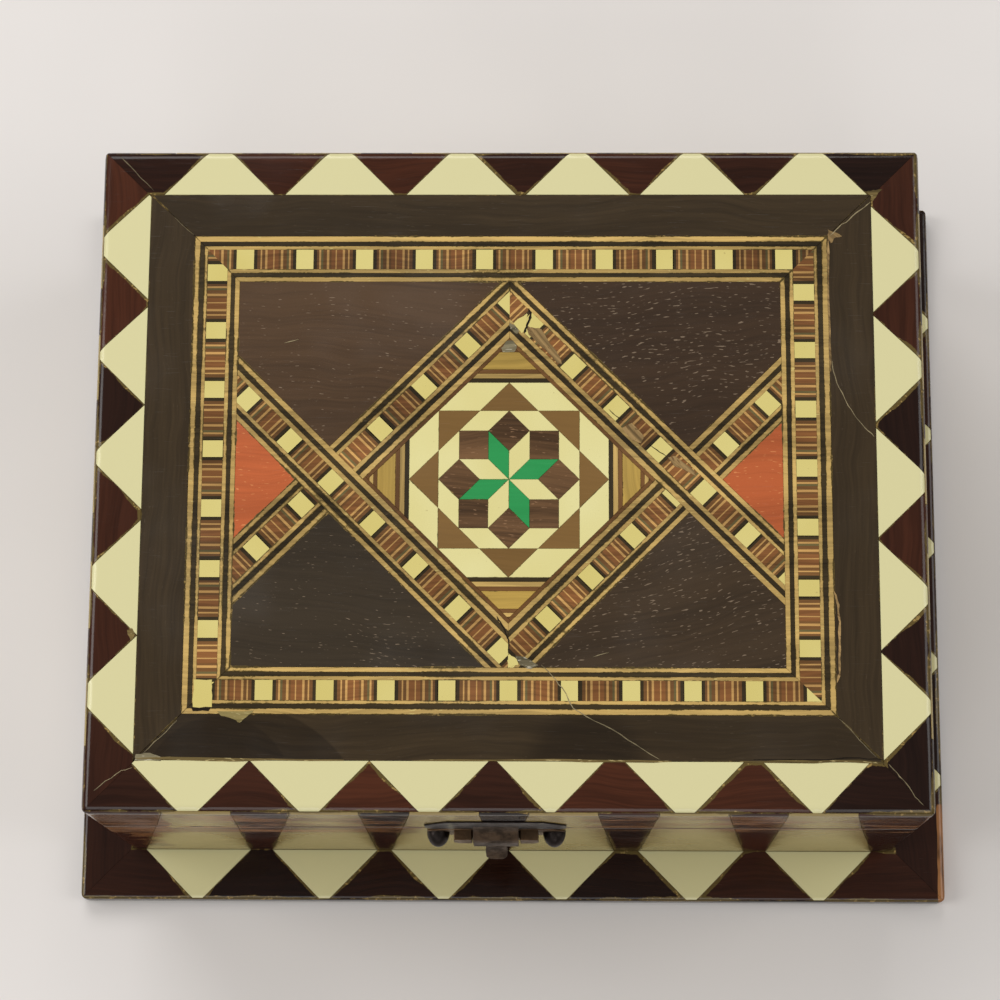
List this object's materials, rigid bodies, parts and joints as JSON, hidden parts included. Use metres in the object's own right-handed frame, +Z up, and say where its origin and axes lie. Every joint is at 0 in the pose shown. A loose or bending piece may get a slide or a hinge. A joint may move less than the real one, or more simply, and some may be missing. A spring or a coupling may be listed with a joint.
{
  "type": "inlaid music box",
  "caption": "Low wooden box on a wide thin plinth, with a hinged inlaid lid: pointed cream borders, a banded diamond and crossing, a star in the middle, and a small metal catch.",
  "frame": {"origin": "on the ground under the middle of the plinth", "axes": "+X to the right along the front, +Y to the back where the hinges are, +Z up"},
  "size_m": [0.1414, 0.1184, 0.057],
  "materials": {
    "rosewood": "gloss varnish",
    "cream_points": "gloss varnish",
    "dark_frame_wood": "gloss varnish",
    "banding": "gloss varnish",
    "panel_wood": "gloss varnish",
    "red_inlay": "gloss varnish",
    "star_mosaic": "gloss varnish",
    "ochre_inlay": "gloss varnish",
    "plain_wood": "thin varnish",
    "hinge_brass": "dull",
    "catch_bronze": "tarnished"
  },
  "bodies": {
    "case": {"bottom_board": "plain_wood", "plinth_front": "rosewood", "plinth_right": "rosewood", "plinth_back": "rosewood", "plinth_left": "rosewood", "plinth_points_front": "cream_points", "plinth_points_right": "cream_points", "plinth_points_back": "cream_points", "plinth_points_left": "cream_points", "wall_front": "rosewood", "wall_right": "rosewood", "wall_back": "rosewood", "wall_left": "rosewood", "wall_points_front": "cream_points", "wall_points_right": "cream_points", "wall_points_back": "cream_points", "wall_points_left": "cream_points", "hinge_left_lower": "hinge_brass", "hinge_right_lower": "hinge_brass", "catch_plate": "catch_bronze", "catch_nail_left": "catch_bronze", "catch_nail_right": "catch_bronze"},
    "lid": {"lid_panel": "plain_wood", "lid_rail_front": "rosewood", "lid_rail_right": "rosewood", "lid_rail_back": "rosewood", "lid_rail_left": "rosewood", "lid_points_front": "cream_points", "lid_points_right": "cream_points", "lid_points_back": "cream_points", "lid_points_left": "cream_points", "dark_frame_front": "dark_frame_wood", "dark_frame_right": "dark_frame_wood", "dark_frame_back": "dark_frame_wood", "dark_frame_left": "dark_frame_wood", "banding_frame_front": "banding", "banding_frame_right": "banding", "banding_frame_back": "banding", "banding_frame_left": "banding", "diamond_band_back_left": "banding", "diamond_band_back_right": "banding", "diamond_band_front_left": "banding", "diamond_band_front_right": "banding", "crossing_band_left": "banding", "crossing_band_right": "banding", "panel_back_left": "panel_wood", "panel_back_right": "panel_wood", "panel_front_left": "panel_wood", "panel_front_right": "panel_wood", "red_triangle_left": "red_inlay", "red_triangle_right": "red_inlay", "star_tablet": "star_mosaic", "star_corner_back": "ochre_inlay", "star_corner_front": "ochre_inlay", "star_corner_left": "ochre_inlay", "star_corner_right": "ochre_inlay", "hinge_left_upper": "hinge_brass", "hinge_right_upper": "hinge_brass", "catch_hasp": "catch_bronze"}
  },
  "joints": [
    {"name": "lid_hinge", "type": "hinge", "parent": "case", "child": "lid", "pos_m": [0, 0.0527, 0.03895], "axis": [-1, 0, 0], "range_deg": [0, 100]}
  ]
}
